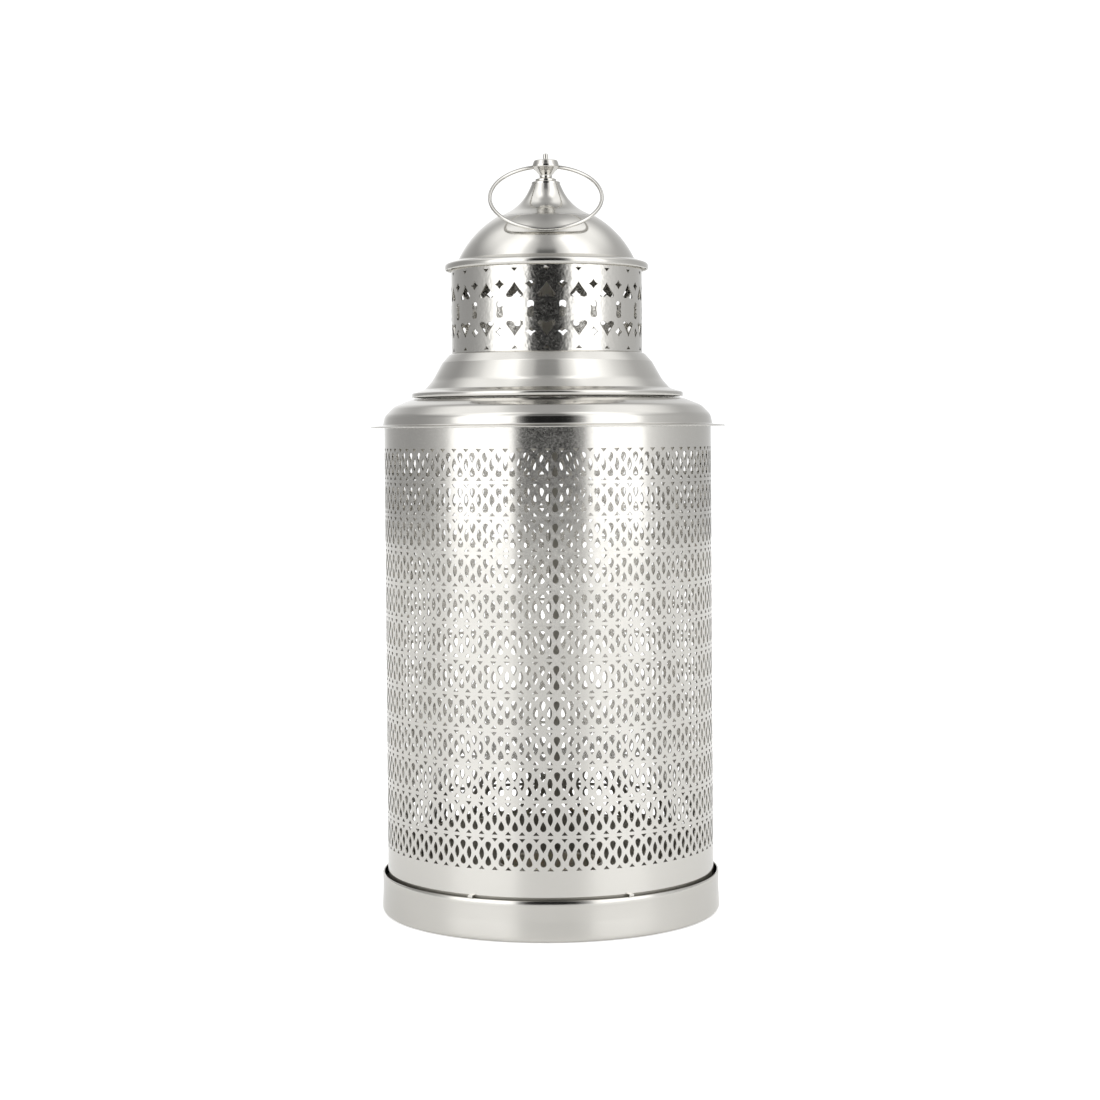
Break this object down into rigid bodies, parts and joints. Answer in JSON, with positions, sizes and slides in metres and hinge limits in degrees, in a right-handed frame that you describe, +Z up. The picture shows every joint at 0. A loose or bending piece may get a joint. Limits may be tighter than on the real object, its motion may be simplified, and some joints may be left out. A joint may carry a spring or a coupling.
{
  "type": "candle lantern",
  "caption": "Tall cylindrical candle lantern of pierced sheet metal with a stepped shoulder, small pierced collar, domed top and swinging ring handle; the housing lifts off its base pan.",
  "frame": {"origin": "middle of the base pan's underside", "axes": "+Z up along the lantern's axis; the ring handle lies towards -Y, the front"},
  "size_m": [0.177, 0.177, 0.3767],
  "materials": {
    "satin_nickel": "satin nickel plate with fine turning marks",
    "inner_sheet": "dull nickel plated sheet",
    "zinc_fasteners": "zinc plated",
    "wax": "candle wax",
    "cotton": "braided cotton"
  },
  "bodies": {
    "base": {"base_pan": "satin_nickel", "candle_cup": "inner_sheet", "cup_rivets": "zinc_fasteners"},
    "candle": {"candle": "wax", "wick": "cotton", "wick_sustainer": "zinc_fasteners"},
    "housing": {"pierced_shell": "satin_nickel", "locating_skirt": "satin_nickel", "rest_tabs": "satin_nickel", "shell_seam_strip": "inner_sheet", "shoulder_hoop": "inner_sheet", "lower_shoulder": "satin_nickel", "neck_bell": "satin_nickel", "collar": "satin_nickel", "collar_foot_hoop": "inner_sheet", "collar_top_hoop": "inner_sheet", "collar_seam_strip": "inner_sheet", "dome": "satin_nickel", "trumpet_cap": "satin_nickel", "finial_knob": "satin_nickel", "finial_stud": "zinc_fasteners", "stud_washer": "zinc_fasteners", "stud_nut": "zinc_fasteners"},
    "ring": {"ring_handle": "satin_nickel"}
  },
  "joints": [
    {"name": "housing_lift", "type": "slide", "parent": "base", "child": "housing", "axis": [0, 0, 1], "range_m": [0, 0.08]},
    {"name": "candle_lift", "type": "slide", "parent": "base", "child": "candle", "axis": [0, 0, 1], "range_m": [0, 0.03]},
    {"name": "ring_swing", "type": "hinge", "parent": "housing", "child": "ring", "pos_m": [0, 0, 0.37], "axis": [-1, 0, 0], "range_deg": [0, 264]}
  ]
}
